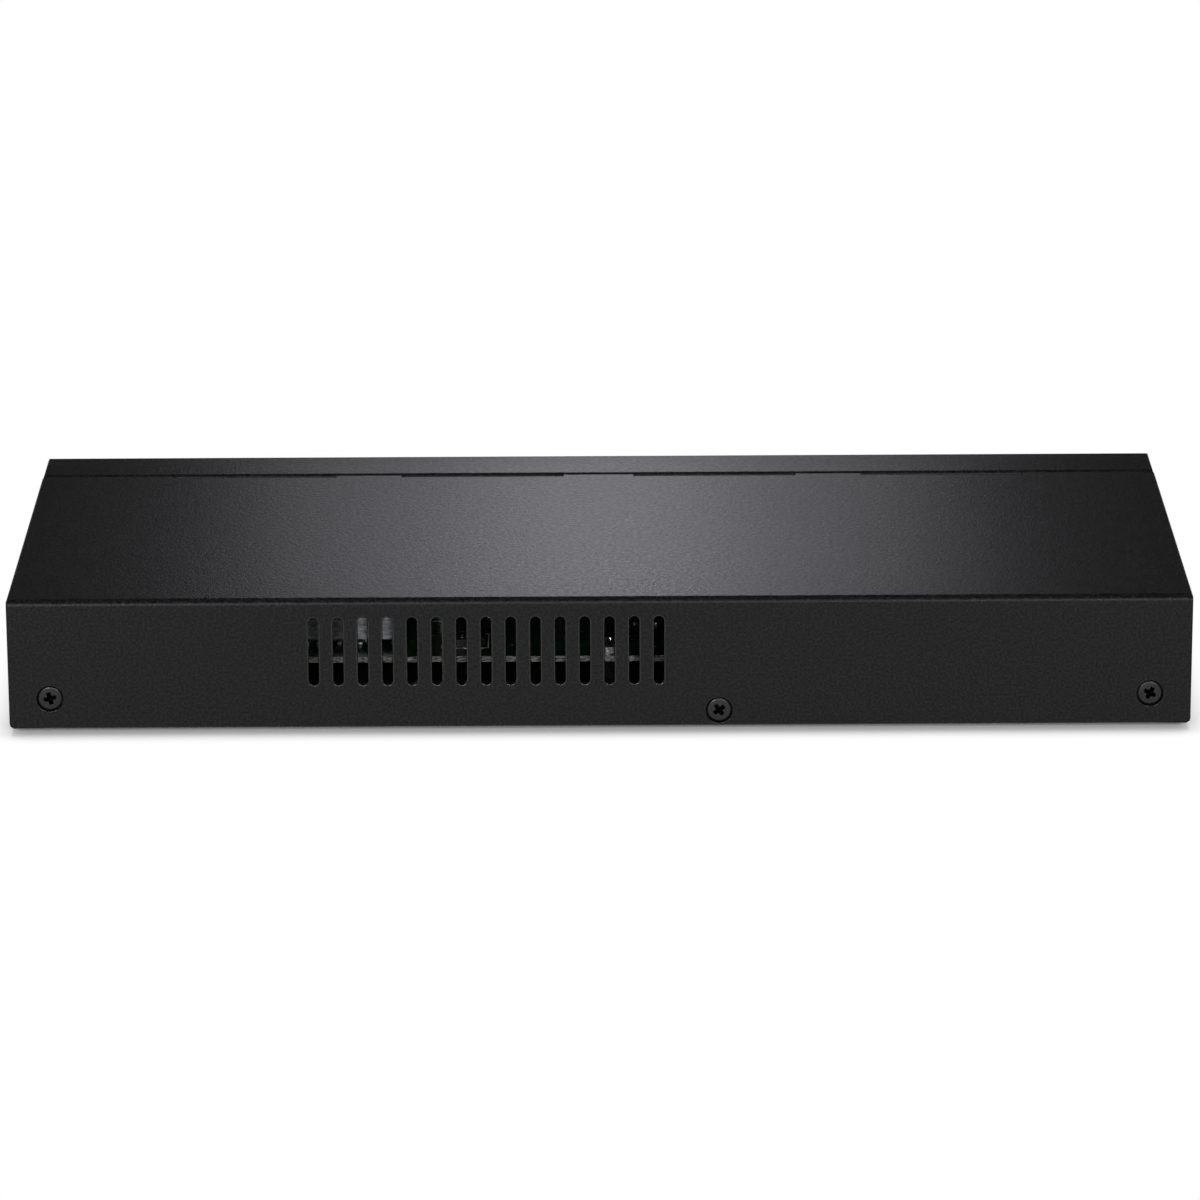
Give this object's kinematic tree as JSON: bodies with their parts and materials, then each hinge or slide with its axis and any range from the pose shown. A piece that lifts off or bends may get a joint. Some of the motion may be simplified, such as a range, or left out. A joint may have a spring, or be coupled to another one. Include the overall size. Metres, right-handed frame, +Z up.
{
  "type": "desktop network switch",
  "caption": "Low folded-steel desktop network switch: ports and power inlet in front, slotted vents behind, slide-off cover held by countersunk screws.",
  "frame": {"origin": "on the surface that the feet stand on, under the middle of the box", "axes": "+X to the right seen from the port side, along the box's width; +Y from the ports to the vented back; +Z up"},
  "size_m": [0.24, 0.105, 0.0288],
  "materials": {
    "case_paint": "fine-textured powder coat",
    "case_screw": "black zinc plating",
    "foot_rubber": "moulded matt rubber",
    "label_paper": "plain satin sticker",
    "film": "black polyester film",
    "zinc_steel": "bright zinc plating",
    "tinned_steel": "tinned sheet",
    "port_plastic": "glass-filled nylon",
    "contact_gold": "gold plating",
    "light_plastic": "clear light guide",
    "board_mask": "green solder mask",
    "package_epoxy": "moulded epoxy",
    "sink_aluminium": "extruded, clear anodised",
    "tape": "soft thermal tape",
    "can_sleeve": "black vinyl sleeve",
    "ferrite": "pressed ferrite",
    "fuse_resin": "resin body",
    "crystal_can": "nickel-plated can",
    "plunger_plastic": "moulded nylon"
  },
  "bodies": {
    "base": {"base_tray": "case_paint", "insulating_film": "film", "rating_label": "label_paper", "foot_front_left": "foot_rubber", "foot_front_right": "foot_rubber", "foot_back_left": "foot_rubber", "foot_back_right": "foot_rubber", "board_standoffs": "case_paint", "board_screws": "zinc_steel", "main_board": "board_mask", "port_shield_left": "tinned_steel", "port_shield_right": "tinned_steel", "port_housing_left": "port_plastic", "port_housing_right": "port_plastic", "port_contacts_left": "contact_gold", "port_contacts_right": "contact_gold", "port_lights_left": "light_plastic", "port_lights_right": "light_plastic", "line_transformer_1": "package_epoxy", "line_transformer_2": "package_epoxy", "line_transformer_3": "package_epoxy", "line_transformer_4": "package_epoxy", "line_transformer_5": "package_epoxy", "line_transformer_6": "package_epoxy", "line_transformer_7": "package_epoxy", "line_transformer_8": "package_epoxy", "switch_chip": "package_epoxy", "thermal_tape": "tape", "heat_sink": "sink_aluminium", "inlet_housing": "port_plastic", "inlet_pin": "zinc_steel", "inlet_spring": "zinc_steel", "capacitor_can_1": "can_sleeve", "capacitor_can_2": "can_sleeve", "capacitor_can_3": "can_sleeve", "capacitor_foot_1": "port_plastic", "capacitor_foot_2": "port_plastic", "capacitor_foot_3": "port_plastic", "power_inductor_1": "ferrite", "power_inductor_2": "ferrite", "regulator_chip_1": "package_epoxy", "regulator_chip_2": "package_epoxy", "crystal": "crystal_can", "memory_chip": "package_epoxy", "input_fuse": "fuse_resin", "input_choke": "ferrite", "surge_diode": "package_epoxy", "reset_switch_body": "port_plastic", "reset_switch_frame": "tinned_steel", "power_lamp_holder": "port_plastic", "power_lamp": "light_plastic", "test_header": "port_plastic", "test_header_pins": "contact_gold"},
    "cover": {"top_cover": "case_paint"},
    "case_screws": {"cover_screws": "case_screw"},
    "reset_button": {"reset_plunger": "plunger_plastic"}
  },
  "joints": [
    {"name": "cover_slide", "type": "slide", "parent": "base", "child": "cover", "axis": [0, 1, 0], "range_m": [0, 0.1]},
    {"name": "screws_out", "type": "slide", "parent": "cover", "child": "case_screws", "axis": [0, 1, 0], "range_m": [0, 0.008]},
    {"name": "reset_press", "type": "slide", "parent": "base", "child": "reset_button", "axis": [0, 1, 0], "range_m": [0, 0.0003], "stiffness_N_per_m": 4000, "springref_m": -0.0001}
  ]
}
